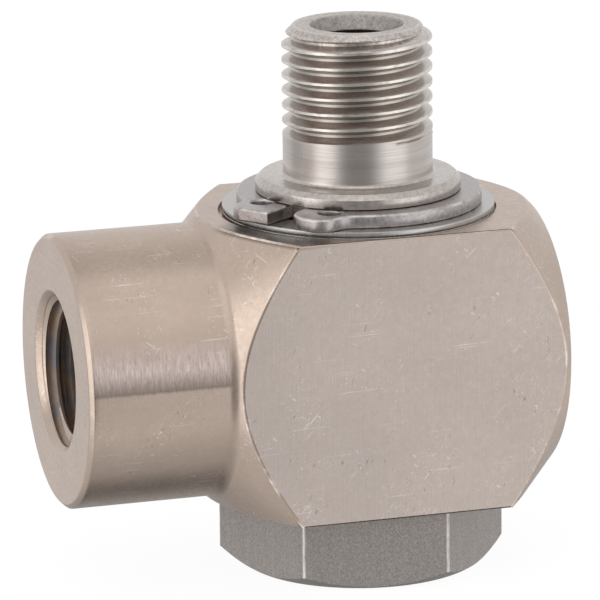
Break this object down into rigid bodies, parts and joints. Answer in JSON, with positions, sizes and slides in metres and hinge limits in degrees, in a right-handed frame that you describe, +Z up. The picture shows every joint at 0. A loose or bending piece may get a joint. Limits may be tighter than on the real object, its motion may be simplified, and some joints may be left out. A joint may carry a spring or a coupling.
{
  "type": "hydraulic rotary union",
  "caption": "Ninety-degree hydraulic rotary union: a threaded steel spindle with a hexagon head swivels in a square-bar housing with a side port, held by a retaining ring.",
  "frame": {"origin": "centre of the hexagon head's free face, on the spindle's axis", "axes": "+Z up the spindle towards the threaded stud; the side port faces -X; the housing's wide marked side faces -Y"},
  "size_m": [0.0433, 0.025, 0.048],
  "materials": {
    "housing": "satin nickel plate over machined bar, with fine scratches and bright worn edges",
    "spindle": "turned stainless steel, hexagon left as drawn bar",
    "retaining_ring": "stamped spring steel, slightly rough, with rounded edges",
    "washers": "smooth rolled steel strip",
    "guide_rings": "bronze-filled PTFE",
    "o_rings": "nitrile rubber",
    "backup_rings": "white PTFE",
    "dust_seals": "polyurethane wiper"
  },
  "bodies": {
    "spindle": {"spindle": "spindle", "retaining_ring": "retaining_ring", "upper_thrust_washer": "washers", "lower_thrust_washer": "washers", "lower_guide_ring": "guide_rings", "upper_guide_ring": "guide_rings", "lower_o_ring": "o_rings", "upper_o_ring": "o_rings", "lower_backup_ring": "backup_rings", "upper_backup_ring": "backup_rings", "lower_dust_seal": "dust_seals", "upper_dust_seal": "dust_seals"},
    "housing": {"housing": "housing", "wear_ring": "washers"}
  },
  "joints": [
    {"name": "swivel", "type": "hinge", "parent": "spindle", "child": "housing", "pos_m": [0, 0, 0.01922], "axis": [0, 0, 1], "continuous": true}
  ]
}
